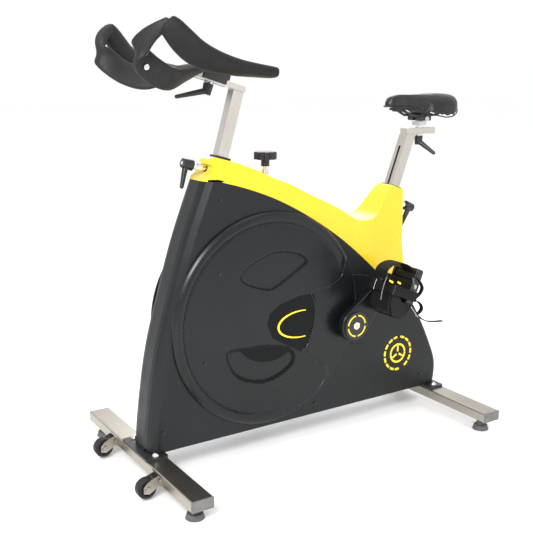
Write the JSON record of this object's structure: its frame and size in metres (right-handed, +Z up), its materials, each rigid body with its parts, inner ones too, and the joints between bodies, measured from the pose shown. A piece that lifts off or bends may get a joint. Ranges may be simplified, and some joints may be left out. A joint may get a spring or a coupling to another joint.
{
  "type": "exercise bike",
  "caption": "Indoor training bike with a covered flywheel drive, adjustable handlebar and saddle, screw brake, toe-clip pedals and levelling feet.",
  "frame": {"origin": "bottom centre of the bounding box, on the floor under the middle of the bike", "axes": "+X forwards to the handlebar, +Y to the rider's left, +Z up"},
  "size_m": [1.0985, 0.626, 1.1218],
  "materials": {
    "black_abs": "satin moulded black plastic, fine texture",
    "yellow_abs": "glossy yellow moulded plastic",
    "frame_black": "black powder coat",
    "stainless": "brushed stainless tube",
    "chrome": "polished chrome",
    "steel": "turned steel",
    "cast_iron": "turned flywheel",
    "plug_grey": "grey end plug",
    "black_nylon": "black nylon",
    "foam": "black moulded foam grip",
    "bar_rubber": "rubber-coated bar",
    "saddle_vinyl": "black vinyl",
    "wheel_rubber": "transport wheel",
    "foot_rubber": "levelling foot",
    "belt_rubber": "ribbed belt",
    "felt": "wool felt",
    "strap": "woven nylon strap",
    "emblem": "gloss black cap"
  },
  "bodies": {
    "frame": {"main_frame": "frame_black", "foot_brackets": "frame_black", "front_stabilizer": "stainless", "rear_stabilizer": "stainless", "stabilizer_plugs": "plug_grey", "foot_bolts": "chrome", "left_side_cover": "black_abs", "right_side_cover": "black_abs", "left_disc_cover": "black_abs", "right_disc_cover": "black_abs", "front_strip": "black_abs", "top_cover": "yellow_abs", "post_sleeves": "black_nylon", "cover_screws": "steel", "crank_bearings": "steel", "flywheel_axle": "steel", "drive_belt": "belt_rubber", "post_clamp_studs": "chrome", "wheel_brackets": "stainless"},
    "handlebar_post": {"handlebar_post": "stainless"},
    "handlebar": {"handlebar_carriage": "frame_black", "handlebar_clamp_stud": "chrome", "handlebar_core": "bar_rubber", "left_handlebar_pad": "foam", "right_handlebar_pad": "foam"},
    "handlebar_lever": {"handlebar_lever": "black_nylon"},
    "head_lever": {"head_lever": "black_nylon"},
    "seat_tube_lever": {"seat_tube_lever": "black_nylon"},
    "seat_post": {"seat_post": "stainless"},
    "saddle_carrier": {"seat_clamp_stud": "chrome", "saddle_bracket": "steel"},
    "saddle": {"saddle_clamp": "steel", "saddle_rails": "steel", "saddle_base": "black_nylon", "saddle_pad": "saddle_vinyl"},
    "saddle_lever": {"saddle_lever": "black_nylon"},
    "brake_sleeve": {"brake_sleeve": "steel", "brake_spring": "steel"},
    "brake_rod": {"brake_rod": "chrome", "brake_pad": "felt"},
    "resistance_knob": {"resistance_knob": "black_nylon"},
    "flywheel": {"flywheel": "cast_iron", "flywheel_bearings": "steel", "flywheel_pulley": "steel"},
    "crank": {"crank_axle": "steel", "crank_pulley": "steel", "left_crank_arm": "emblem", "right_crank_arm": "emblem", "crank_caps": "emblem", "pedal_spindles": "steel"},
    "left_pedal": {"left_pedal": "black_nylon", "left_toe_clip": "strap"},
    "right_pedal": {"right_pedal": "black_nylon", "right_toe_clip": "strap"},
    "left_transport_wheel": {"left_transport_wheel": "wheel_rubber"},
    "right_transport_wheel": {"right_transport_wheel": "wheel_rubber"},
    "front_left_foot": {"front_left_foot": "foot_rubber"},
    "front_right_foot": {"front_right_foot": "foot_rubber"},
    "rear_left_foot": {"rear_left_foot": "foot_rubber"},
    "rear_right_foot": {"rear_right_foot": "foot_rubber"}
  },
  "joints": [
    {"name": "handlebar_height", "type": "slide", "parent": "frame", "child": "handlebar_post", "axis": [-0.279, 0, 0.9603], "range_m": [-0.09, 0.06]},
    {"name": "handlebar_reach", "type": "slide", "parent": "handlebar_post", "child": "handlebar", "axis": [0.9603, 0, 0.279], "range_m": [-0.035, 0.035]},
    {"name": "handlebar_lever_turn", "type": "hinge", "parent": "handlebar", "child": "handlebar_lever", "pos_m": [0.26673, 0, 0.96136], "axis": [-0.279, 0, 0.9603], "range_deg": [-60, 60]},
    {"name": "head_lever_turn", "type": "hinge", "parent": "frame", "child": "head_lever", "pos_m": [0.32315, 0, 0.7851], "axis": [0.9603, 0, 0.279], "range_deg": [-150, 150]},
    {"name": "seat_tube_lever_turn", "type": "hinge", "parent": "frame", "child": "seat_tube_lever", "pos_m": [-0.4046, 0, 0.62045], "axis": [0.9367, 0, 0.3502], "range_deg": [-150, 150]},
    {"name": "seat_height", "type": "slide", "parent": "frame", "child": "seat_post", "axis": [-0.3502, 0, 0.9367], "range_m": [-0.09, 0.05]},
    {"name": "saddle_reach", "type": "slide", "parent": "seat_post", "child": "saddle_carrier", "axis": [1, 0, 0], "range_m": [-0.036, 0]},
    {"name": "saddle_lever_turn", "type": "hinge", "parent": "saddle_carrier", "child": "saddle_lever", "pos_m": [-0.43624, 0, 0.815], "axis": [0, 0, 1], "range_deg": [-60, 60]},
    {"name": "saddle_tilt", "type": "hinge", "parent": "saddle_carrier", "child": "saddle", "pos_m": [-0.43624, 0, 0.876], "axis": [0, 1, 0], "range_deg": [-8, 8]},
    {"name": "brake_push", "type": "slide", "parent": "frame", "child": "brake_sleeve", "axis": [0, 0, 1], "range_m": [-0.0025, 0], "stiffness_N_per_m": 4000, "springref_m": 0.003, "deforming": ["brake_spring"]},
    {"name": "brake_feed", "type": "slide", "parent": "brake_sleeve", "child": "brake_rod", "axis": [0, 0, 1], "range_m": [-0.002, 0]},
    {"name": "resistance_turn", "type": "hinge", "parent": "brake_rod", "child": "resistance_knob", "pos_m": [0.09676, 0, 0.796], "axis": [0, 0, 1], "range_deg": [-720, 0]},
    {"name": "flywheel_spin", "type": "hinge", "parent": "frame", "child": "flywheel", "pos_m": [0.11976, 0, 0.37], "axis": [0, 1, 0], "continuous": true},
    {"name": "crank_spin", "type": "hinge", "parent": "frame", "child": "crank", "pos_m": [-0.13924, 0, 0.32], "axis": [0, 1, 0], "continuous": true},
    {"name": "left_pedal_spin", "type": "hinge", "parent": "crank", "child": "left_pedal", "pos_m": [-0.2551, 0.16, 0.43748], "axis": [0, 1, 0], "continuous": true},
    {"name": "right_pedal_spin", "type": "hinge", "parent": "crank", "child": "right_pedal", "pos_m": [-0.02338, -0.16, 0.20252], "axis": [0, 1, 0], "continuous": true},
    {"name": "left_wheel_spin", "type": "hinge", "parent": "frame", "child": "left_transport_wheel", "pos_m": [0.52426, 0.135, 0.0315], "axis": [0, 1, 0], "continuous": true},
    {"name": "right_wheel_spin", "type": "hinge", "parent": "frame", "child": "right_transport_wheel", "pos_m": [0.52426, -0.135, 0.0315], "axis": [0, 1, 0], "continuous": true},
    {"name": "front_left_foot_turn", "type": "hinge", "parent": "frame", "child": "front_left_foot", "pos_m": [0.46376, 0.272, 0.02], "axis": [0, 0, 1], "continuous": true},
    {"name": "front_right_foot_turn", "type": "hinge", "parent": "frame", "child": "front_right_foot", "pos_m": [0.46376, -0.272, 0.02], "axis": [0, 0, 1], "continuous": true},
    {"name": "rear_left_foot_turn", "type": "hinge", "parent": "frame", "child": "rear_left_foot", "pos_m": [-0.47024, 0.272, 0.02], "axis": [0, 0, 1], "continuous": true},
    {"name": "rear_right_foot_turn", "type": "hinge", "parent": "frame", "child": "rear_right_foot", "pos_m": [-0.47024, -0.272, 0.02], "axis": [0, 0, 1], "continuous": true}
  ],
  "couplings": [
    {"joint": "crank_spin", "follows": "flywheel_spin", "ratio": 0.31896},
    {"joint": "brake_feed", "follows": "resistance_turn", "m_per_rad": 0.00015915}
  ]
}
